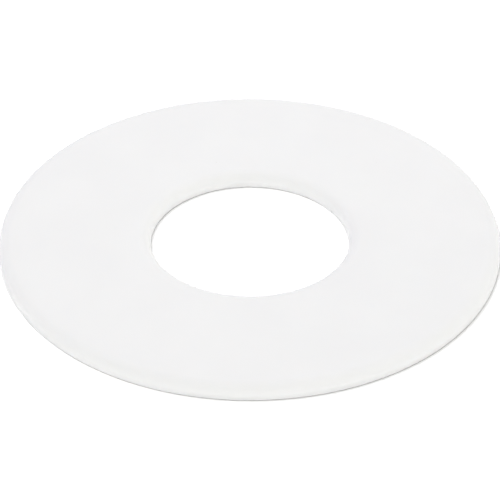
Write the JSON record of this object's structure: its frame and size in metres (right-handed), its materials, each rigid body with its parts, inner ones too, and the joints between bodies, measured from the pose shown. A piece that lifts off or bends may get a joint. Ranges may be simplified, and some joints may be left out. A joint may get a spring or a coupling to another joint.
{
  "type": "toilet tank gasket",
  "caption": "Flat round seal ring in soft white silicone with a central hole and rounded upper edges, for the flush valve of a toilet tank.",
  "frame": {"origin": "on the ring's axis, at the underside that it lies on", "axes": "+Z along the ring's axis, from the underside to the top face; X and Y are any two radii, since the ring is the same all round"},
  "size_m": [0.063, 0.063, 0.0018],
  "materials": {
    "white_silicone": "soft satin, moulded, very slightly translucent"
  },
  "bodies": {
    "root": {"gasket_ring": "white_silicone"}
  },
  "joints": []
}
